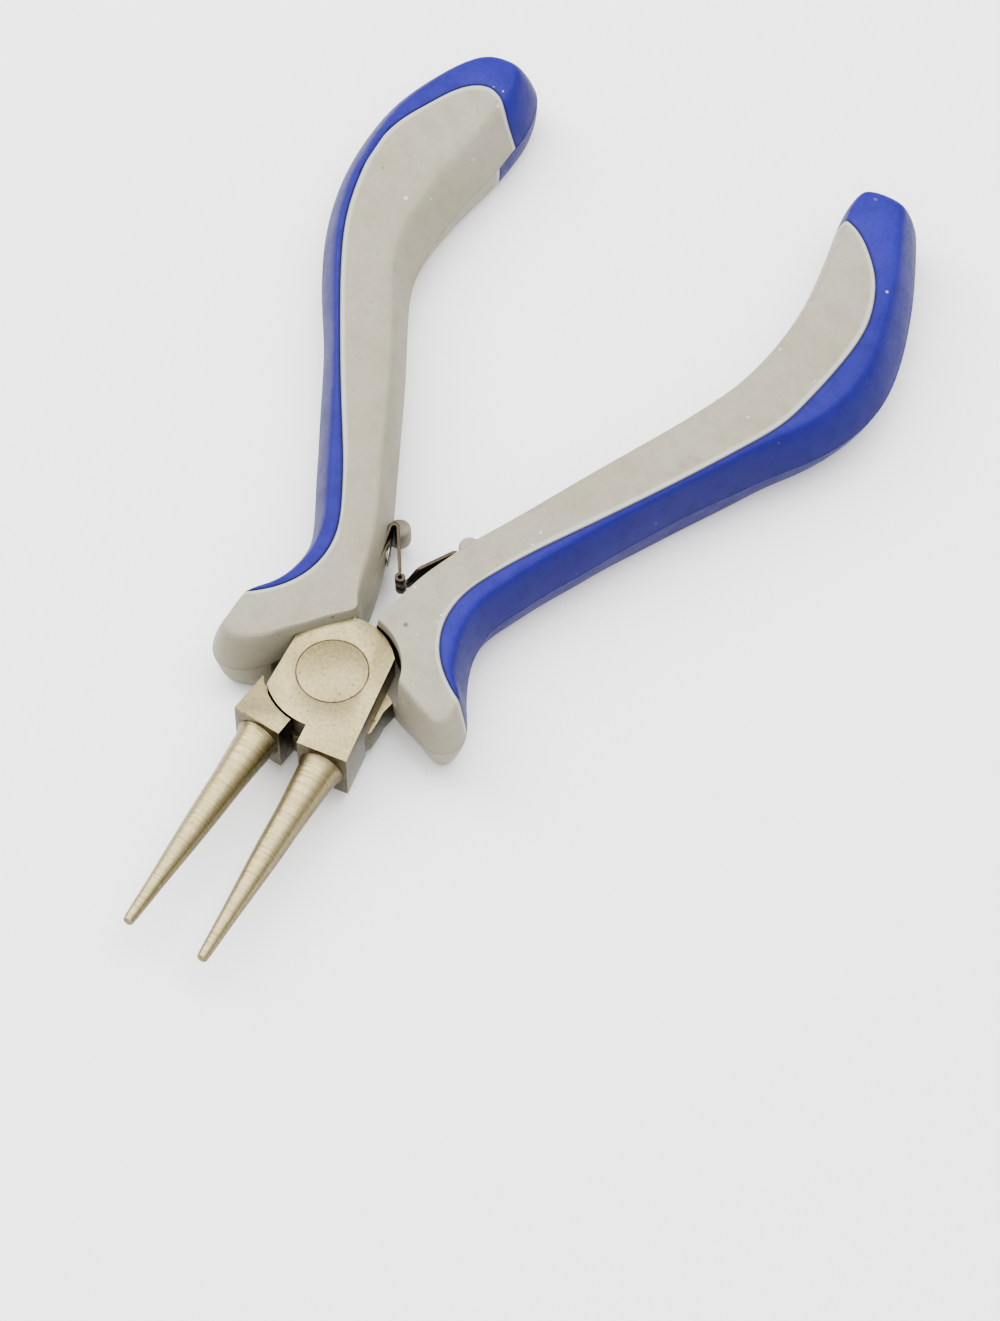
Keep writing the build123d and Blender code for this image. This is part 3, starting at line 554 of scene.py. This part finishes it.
def steel(name, base, jaw_axis=None, jaw_base=None, rings=True):
    """nickel plated steel: satin, fine cross grain, pits, tarnish; turning marks on a jaw; a painted highlight on the
    jaw, painted shade on the flanks and, with rings, in crevices
    """
    m = Mat(name)
    cloud = m.noise(160, 5, 0.55)
    fine = m.noise(5200, 3, 0.65)
    streak = m.noise(900, 4, 0.6, vec=m.scaled((1.0, 0.12, 1.0)))
    warm = (base[0] * 0.80, base[1] * 0.74, base[2] * 0.62)
    col = m.mix(m.grey(cloud, 0.0, 0.75, 0.42, 0.72), (*base, 1), (*warm, 1))
    col = m.mix(m.grey(streak, 0.0, 0.25, 0.5, 0.8), col, (base[0] * 0.6, base[1] * 0.56, base[2] * 0.48, 1))
    sand = m.noise(2300, 5, 0.72)
    col = m.mix(m.grey(sand, 0.0, 0.62, 0.50, 0.66), col, (base[0] * 0.52, base[1] * 0.47, base[2] * 0.38, 1))
    col = m.mix(m.grey(sand, 0.45, 0.0, 0.34, 0.46), col, (base[0] * 1.45, base[1] * 1.42, base[2] * 1.35, 1))
    v = m.voronoi(1500)
    pick = m.grey(m.red(v.outputs["Color"]), 0.0, 1.0, 0.93, 0.96)
    pit = m.math("MULTIPLY", m.grey(v.outputs["Distance"], 1.0, 0.0, 0.12, 0.25), pick)
    col = m.mix(m.math("MULTIPLY", pit, 0.75), col, (0.14, 0.09, 0.05, 1))
    rough = m.grey(m.math("ADD", m.math("MULTIPLY", cloud, 0.6), m.math("MULTIPLY", fine, 0.4)), 0.27, 0.44, 0.35, 0.7)
    height = m.math("ADD", m.math("MULTIPLY", sand, 0.9), m.math("MULTIPLY", streak, 0.5))
    nrm = m.bump(height, 0.34, 0.00006)
    nrm = m.bump(m.math("SUBTRACT", 1.0, pit), 0.5, 0.00008, nrm)
    if jaw_axis is not None:
        along = m.dot(jaw_axis)
        start = sum(a * b for a, b in zip(jaw_axis, jaw_base))
        t = m.math("SUBTRACT", along, start)
        on = m.grey(t, 0.0, 1.0, 0.0004, 0.0012)
        vec = m.node("ShaderNodeCombineXYZ", {"X": t, "Y": 0.0, "Z": 0.0}).outputs[0]
        turn = m.noise(4200, 3, 0.7, vec=vec)
        turn2 = m.noise(1500, 2, 0.5, vec=vec)
        hh = m.math("MULTIPLY", m.math("ADD", turn, turn2), on)
        nrm = m.bump(hh, 0.75, 0.00011, nrm)
        band = m.math("MULTIPLY", m.grey(turn, 0.0, 0.75, 0.48, 0.72), on)
        # painted highlight: the jaw cone is made lighter than the rest of the steel
        col = m.mix(m.math("MULTIPLY", on, 0.8), col, (base[0] * 1.75, base[1] * 1.72, base[2] * 1.62, 1))
        col = m.mix(band, col, (base[0] * 0.42, base[1] * 0.35, base[2] * 0.24, 1))
    if rings:
        xy = m.node("ShaderNodeVectorMath", {0: m.pos, 1: (1.0, 1.0, 0.0)}, operation="MULTIPLY").outputs[0]
        d = m.node("ShaderNodeVectorMath", {0: xy, 1: (PX, PY, 0.0)}, operation="DISTANCE").outputs["Value"]
        gap = m.grey(m.math("ABSOLUTE", m.math("SUBTRACT", d, 0.00413)), 1.0, 0.0, 0.00006, 0.00016)
        broken = m.grey(m.noise(700, 2, 0.5), 0.25, 0.95, 0.35, 0.60)
        col = m.mix(m.math("MULTIPLY", gap, broken), col, (0.10, 0.065, 0.04, 1))
    # painted shade: faces turned away from vertical are darkened toward a deep brown
    flank_shade = m.grey(m.math("ABSOLUTE", m.nz), 0.88, 0.0, 0.08, 0.86)
    col = m.mix(m.math("MULTIPLY", flank_shade, m.grey(sand, 0.75, 1.0, 0.35, 0.6)), col, (base[0] * 0.15, base[1] * 0.13, base[2] * 0.10, 1))
    if rings:
        # painted shade: darker where ambient occlusion finds crevices round the rivet and between parts, mottled by
        # noise
        ao = m.node("ShaderNodeAmbientOcclusion", {"Distance": 0.0011}, samples=6).outputs["AO"]
        crevice_shade = m.grey(m.math("ADD", ao, m.grey(cloud, -0.12, 0.12, 0.35, 0.68)), 0.80, 0.0, 0.28, 0.62)
        col = m.mix(crevice_shade, col, (0.060, 0.040, 0.024, 1))
        punch = m.grey(m.dist(row(0.15, 0.2, 5.1e-3)), 0.8, 0.0, 0.00010, 0.00022)
        col = m.mix(punch, col, (0.12, 0.085, 0.055, 1))
    m.set("Base Color", col)
    m.set("Metallic", 1.0)
    m.set("Roughness", rough)
    m.set("Normal", nrm)
    return m.m


# ------------------------------------------------------------------ springs
HX, HS = 21.25, 4.05
VERTEX = 15.65
MEET = {"left": 0.0, "right": 0.0}       # the hooked ends meet on the middle plane
ARM_DIR, ARM_LEN = 0.0, 0.0
LEG_DIR = math.atan2(-1.25, -5.4)      # the leg tucks into the grip


def off(d, t, n):
    return (HX + t * math.cos(d) - n * math.sin(d), HS + t * math.sin(d) + n * math.cos(d))


def strip(path, z0, z1, th, flipped, base):
    """flat strip swept along a plan path, edges softened; z0 and z1 are numbers or one per point"""
    p = np.array(path)
    z0 = np.broadcast_to(z0, len(p))
    z1 = np.broadcast_to(z1, len(p))
    tn = np.gradient(p, axis=0)
    tn /= np.linalg.norm(tn, axis=1)[:, None]
    nr = np.stack([-tn[:, 1], tn[:, 0]], 1)
    h = th / 2
    b = 0.07
    rings = []
    for i in range(len(p)):
        a0, a1 = z0[i], z1[i]
        prof = [(-h, a0 + b), (-h + b * 0.3, a0 + b * 0.3), (-h + b, a0), (h - b, a0), (h - b * 0.3, a0 + b * 0.3), (h, a0 + b),
                (h, a1 - b), (h - b * 0.3, a1 - b * 0.3), (h - b, a1), (-h + b, a1), (-h + b * 0.3, a1 - b * 0.3), (-h, a1 - b)]
        ring = []
        for o, z in prof:
            a, s = p[i] + nr[i] * o
            x, y = -s * K, a * K + PY
            zz = z * 1e-3
            if flipped:
                x, zz = -x, -zz
            ring.append((x + PX, y, MZ + zz))
        rings.append(np.array(ring))
    return stack(rings, base=base)


def near(t, ref):
    while t - ref > math.pi:
        t -= 2 * math.pi
    while t - ref < -math.pi:
        t += 2 * math.pi
    return t


def make_spring(side, flipped):
    global ARM_DIR, ARM_LEN
    th = 0.42
    ms = MEET[side]
    ARM_DIR = math.atan2(ms - HS, VERTEX - HX)
    ARM_LEN = math.hypot(ms - HS, VERTEX - HX)
    leg = [off(LEG_DIR, t, -0.5) for t in np.linspace(5.0, 0.0, 24)]
    c0 = np.array(off(LEG_DIR, 0, -0.5)) - np.array((HX, HS))
    c1 = np.array(off(ARM_DIR, 0, 0.5)) - np.array((HX, HS))
    back = LEG_DIR + math.pi
    t0, t1 = near(math.atan2(c0[1], c0[0]), back), near(math.atan2(c1[1], c1[0]), back)
    bend = [(HX + 0.5 * math.cos(t), HS + 0.5 * math.sin(t)) for t in np.linspace(t0, t1, 22)[1:-1]]

    def arm_pt(t):
        return off(ARM_DIR, t, 0.5 * max(0.0, 1 - t / (ARM_LEN - 0.6)) ** 0.9)
    ts = np.linspace(0.0, ARM_LEN - 0.5, 34)
    arm = [arm_pt(t) for t in ts]
    u = np.clip((ts - (ARM_LEN - 2.6)) / 1.9, 0, 1)
    u = u * u * (3 - 2 * u)
    full = len(leg) + len(bend)
    if side == "left":        # the hook is the upper part of the strip
        lo_end, hi_end = 0.85, 2.1
    else:
        lo_end, hi_end = -0.65, 0.65
    z0 = np.concatenate([np.full(full, -2.1), -2.1 + (lo_end + 2.1) * u])
    z1 = np.concatenate([np.full(full, 2.1), 2.1 + (hi_end - 2.1) * u])
    # curl of the hook round the meeting point
    end = np.array(arm[-1]) - np.array((VERTEX, ms))
    t0 = math.atan2(end[1], end[0])
    r0 = float(np.linalg.norm(end))
    curl = [(VERTEX + r * math.cos(t), ms + r * math.sin(t)) for r, t in zip(np.linspace(r0, 0.36, 34), np.linspace(t0, t0 + math.radians(330), 34))][1:]
    path = leg + bend + arm + curl
    z0 = np.concatenate([z0, np.full(len(curl), lo_end)])
    z1 = np.concatenate([z1, np.full(len(curl), hi_end)])
    verts, faces = strip(path, z0, z1, th, flipped, 0)
    return mesh_object(f"{side}_leaf_spring", verts, faces, angle=40)


# ------------------------------------------------------------------ build
left_grey, left_blue = make_grip("left", False)
right_grey, right_blue = make_grip("right", True)
left_spring = make_spring("left", False)
right_spring = make_spring("right", True)

for ob, body, node, sl in ((left_grey, "upper", "left_grip_grey", "grip_grey"), (left_blue, "upper", "left_grip_blue", "grip_blue"),
                           (right_grey, "lower", "right_grip_grey", "grip_grey"), (right_blue, "lower", "right_grip_blue", "grip_blue")):
    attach(ob, body)
    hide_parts(node)


def row(a, s, z=0.0, flipped=False):
    x, y = -s * K, a * K + PY
    return (-x + PX, y, MZ - z) if flipped else (x + PX, y, MZ + z)


for ob, bodies, nodes, fl in ((left_spring, ("upper", "left_arm"), ("left_spring_leg", "left_spring_arm"), False),
                              (right_spring, ("lower", "right_arm"), ("right_spring_leg", "right_spring_arm"), True)):
    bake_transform(ob)
    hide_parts(*nodes)

# steel halves and rivets: the exact CAD pieces with softened edges
for name in ("upper_half", "lower_half", "pivot_rivet", "left_spring_rivet", "right_spring_rivet"):
    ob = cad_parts[name]
    w = ob.modifiers.new("weld", "WELD")
    w.merge_threshold = 2e-6
    dm = ob.modifiers.new("planar", "DECIMATE")
    dm.decimate_type = "DISSOLVE"
    dm.angle_limit = math.radians(0.6)
    bv = ob.modifiers.new("edges", "BEVEL")
    bv.limit_method = "ANGLE"
    bv.angle_limit = math.radians(34)
    bv.width = 0.00013 if "half" in name else 0.00006
    bv.segments = 3
    bv.harden_normals = False
    ob.data.polygons.foreach_set("use_smooth", [True] * len(ob.data.polygons))
    ob.data.set_sharp_from_angle(angle=math.radians(34))

# ------------------------------------------------------------------ materials
def jaw(flipped):
    h = math.radians(6.2)
    ca, sa = math.cos(h), math.sin(h)
    def rest(a, s):
        return (a * ca - s * sa, s * ca + a * sa)
    tip, base = row(*rest(-38.0, -0.72), 0, flipped), row(*rest(-9.75, -3.05), 0, flipped)
    v = Vector(tip) - Vector(base)
    return tuple(v.normalized()), base


NICKEL = (0.205, 0.174, 0.090)
ax, bs = jaw(False)
m_upper = steel("nickel_upper", NICKEL, ax, bs)
ax, bs = jaw(True)
m_lower = steel("nickel_lower", NICKEL, ax, bs)
m_rivet = steel("nickel_rivet", (0.180, 0.152, 0.078))
m_spring = steel("spring_steel_strip", (0.040, 0.032, 0.022), rings=False)
m_srivet = steel("spring_rivet_steel", (0.45, 0.42, 0.38), rings=False)
GREY, GREY_L, GREY_D = (0.232, 0.212, 0.146), (0.258, 0.242, 0.186), (0.155, 0.135, 0.085)
BLUE, BLUE_L, BLUE_D = (0.0070, 0.0052, 0.135), (0.0110, 0.0085, 0.180), (0.0020, 0.0022, 0.050)
spots_and_lug_shade_left = [
    ((-0.00405, -0.02111, 0.00970), 0.00028, (0.06, 0.04, 0.025), 0.80),
    ((-0.00248, -0.01797, 0.00930), 0.00030, (0.06, 0.04, 0.025), 0.80),
    ((-0.00284, -0.01401, 0.00970), 0.00025, (0.06, 0.04, 0.025), 0.80),
    ((-0.03035, 0.03630, 0.01020), 0.00022, (0.06, 0.04, 0.025), 0.70),
    ((-0.02575, 0.03378, 0.01020), 0.00030, (0.55, 0.54, 0.50), 0.80),
    ((-0.02292, 0.05124, 0.01000), 0.00035, (0.55, 0.54, 0.50), 0.50),
    ((-0.02223, 0.05050, 0.00990), 0.00042, (0.55, 0.54, 0.50), 0.55),
    ((-0.02169, 0.04977, 0.00970), 0.00042, (0.55, 0.54, 0.50), 0.55),
    ((-0.02129, 0.04905, 0.00960), 0.00030, (0.55, 0.54, 0.50), 0.40),
    # painted shade: two dark olive blots over the lug beside the spring
    (row(23.0, 4.35, -1.5e-3), 0.0021, (0.10, 0.088, 0.055), 0.85),
    (row(23.0, 4.35, -0.4e-3), 0.0014, (0.10, 0.088, 0.055), 0.5),
    ((-0.01603, 0.00241, 0.01020), 0.00020, (0.06, 0.04, 0.025), 0.50),
    ((-0.02175, 0.01866, 0.01020), 0.00018, (0.06, 0.04, 0.025), 0.50),
    ((-0.00689, -0.02373, 0.00860), 0.00025, (0.06, 0.04, 0.025), 0.50),
    ((-0.00856, -0.02512, 0.00860), 0.00020, (0.06, 0.04, 0.025), 0.50)]
spots_right = [
    ((0.00375, -0.01812, 0.01010), 0.00032, (0.06, 0.04, 0.025), 0.90),
    ((0.01585, -0.02837, 0.00930), 0.00075, (0.17, 0.14, 0.07), 0.55),
    ((0.01475, -0.02844, 0.00960), 0.00028, (0.06, 0.04, 0.025), 0.80),
    ((0.02101, 0.01632, 0.01020), 0.00110, (0.17, 0.155, 0.12), 0.50),
    ((0.02206, 0.01754, 0.01020), 0.00090, (0.17, 0.155, 0.12), 0.45),
    ((0.02116, 0.01751, 0.01020), 0.00040, (0.17, 0.14, 0.07), 0.40),
    ((0.01096, -0.00455, 0.01020), 0.00016, (0.06, 0.04, 0.025), 0.50),
    ((0.01840, 0.01047, 0.01020), 0.00090, (0.17, 0.155, 0.12), 0.20)]
spots_bl = [
    ((-0.02467, 0.05339, 0.01000), 0.00022, (0.55, 0.54, 0.50), 0.50),
    ((-0.02342, 0.05339, 0.01000), 0.00020, (0.55, 0.54, 0.50), 0.50),
    ((-0.02832, 0.05398, 0.00960), 0.00020, (0.55, 0.54, 0.50), 0.40),
    ((-0.02626, 0.01746, 0.00860), 0.00020, (0.55, 0.54, 0.50), 0.40),
    ((-0.01803, 0.00253, 0.00860), 0.00025, (0.55, 0.54, 0.50), 0.40)]
spots_br = [
    ((0.03110, 0.05783, 0.00410), 0.00050, (0.004, 0.006, 0.04), 0.90),
    ((0.02379, 0.06088, 0.00990), 0.00022, (0.55, 0.54, 0.50), 0.50),
    ((0.02588, 0.06019, 0.00970), 0.00020, (0.55, 0.54, 0.50), 0.50),
    ((0.03049, 0.04942, 0.01010), 0.00020, (0.55, 0.54, 0.50), 0.50),
    ((0.01167, -0.01746, 0.00960), 0.00028, (0.004, 0.006, 0.04), 0.60),
    ((0.01641, -0.00498, 0.00860), 0.00020, (0.55, 0.54, 0.50), 0.40)]
m_gl = rubber("grip_grey_left", GREY, GREY_L, GREY_D, 0.52, spots_and_lug_shade_left)
m_gr = rubber("grip_grey_right", GREY, GREY_L, GREY_D, 0.52, spots_right)
m_bl = rubber("grip_blue_left", BLUE, BLUE_L, BLUE_D, 0.50, spots_bl, 0.13)
m_br = rubber("grip_blue_right", BLUE, BLUE_L, BLUE_D, 0.50, spots_br, 0.13)


def paint(ob, mat):
    ob.data.materials.clear()
    ob.data.materials.append(mat)


for ob, mat in ((left_grey, m_gl), (right_grey, m_gr), (left_blue, m_bl), (right_blue, m_br), (left_spring, m_spring), (right_spring, m_spring),
                (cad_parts["upper_half"], m_upper), (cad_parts["lower_half"], m_lower), (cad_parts["pivot_rivet"], m_rivet),
                (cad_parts["left_spring_rivet"], m_srivet), (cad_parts["right_spring_rivet"], m_srivet)):
    paint(ob, mat)
for n, mat in (("left_grip_grey", m_gl), ("right_grip_grey", m_gr), ("left_grip_blue", m_bl), ("right_grip_blue", m_br),
               ("left_spring_leg", m_spring), ("left_spring_arm", m_spring), ("right_spring_leg", m_spring), ("right_spring_arm", m_spring)):
    paint(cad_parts[n], mat)

# ------------------------------------------------------------------ stage
def make_floor():
    n = 40
    e = 1.2
    verts = [((i / n - 0.5) * 2 * e, (j / n - 0.5) * 2 * e, -0.00005) for j in range(n + 1) for i in range(n + 1)]
    faces = [(j * (n + 1) + i, j * (n + 1) + i + 1, (j + 1) * (n + 1) + i + 1, (j + 1) * (n + 1) + i) for j in range(n) for i in range(n)]
    me = bpy.data.meshes.new("floor")
    me.from_pydata(verts, [], faces)
    ob = bpy.data.objects.new("floor", me)
    bpy.context.scene.collection.objects.link(ob)
    m = Mat("floor_paper")
    f = m.noise(900, 3, 0.6)
    m.set("Base Color", m.mix(m.grey(f, 0.0, 1.0, 0.3, 0.7), (0.94, 0.94, 0.94, 1), (0.955, 0.955, 0.955, 1)))
    m.set("Roughness", 0.9)
    m.set("Specular IOR Level", 0.1)
    m.set("Normal", m.bump(f, 0.05, 0.0001))
    me.materials.append(m.m)


make_floor()

world = bpy.data.worlds.new("studio")
bpy.context.scene.world = world
world.use_nodes = True
bg = world.node_tree.nodes["Background"]
bg.inputs[0].default_value = (1.0, 1.0, 1.0, 1)
# brighter overhead than at the horizon, so the flanks fall off as in a light tent
wn = world.node_tree.nodes
wl = world.node_tree.links
wtc = wn.new("ShaderNodeTexCoord")
wsep = wn.new("ShaderNodeSeparateXYZ")
wmap = wn.new("ShaderNodeMapRange")
wl.new(wtc.outputs["Generated"], wsep.inputs[0])
wl.new(wsep.outputs["Z"], wmap.inputs["Value"])
wmap.inputs["From Min"].default_value = 0.08
wmap.inputs["From Max"].default_value = 0.72
wmap.inputs["To Min"].default_value = 0.22
wmap.inputs["To Max"].default_value = 2.25
wl.new(wmap.outputs[0], bg.inputs[1])


def area(name, loc, target, size, power, colour=(1, 1, 1)):
    l = bpy.data.lights.new(name, "AREA")
    l.shape = "RECTANGLE"
    l.size, l.size_y = size
    l.energy = power
    l.color = colour
    o = bpy.data.objects.new(name, l)
    bpy.context.scene.collection.objects.link(o)
    o.location = loc
    d = Vector(target) - Vector(loc)
    o.rotation_euler = d.to_track_quat("-Z", "Y").to_euler()
    return o


area("softbox_left", (-0.55, 0.10, 0.60), (0, 0.0, 0), (0.5, 0.7), 9.0)
area("softbox_top", (0.05, 0.25, 0.85), (0, 0, 0), (0.8, 0.5), 10.0)
area("softbox_front", (0.25, -0.75, 0.45), (0, -0.03, 0), (0.6, 0.4), 3.0)

cam_data = bpy.data.cameras.new("photo_camera")
cam_data.lens = 136.26
cam_data.sensor_width = 36
cam_data.sensor_fit = "AUTO"
cam_data.clip_start = 0.01
cam = bpy.data.objects.new("photo_camera", cam_data)
bpy.context.scene.collection.objects.link(cam)
fw = Vector((-0.25183, 0.45316, -0.85512)).normalized()
rt = Vector((0.87409, 0.48575, 0.0)).normalized()
up = rt.cross(fw).normalized()
R = Matrix((rt, up, -fw)).transposed().to_4x4()
cam.matrix_world = Matrix.Translation(Vector((PX + 0.157795, PY - 0.245094, 0.490788))) @ R
bpy.context.scene.camera = cam
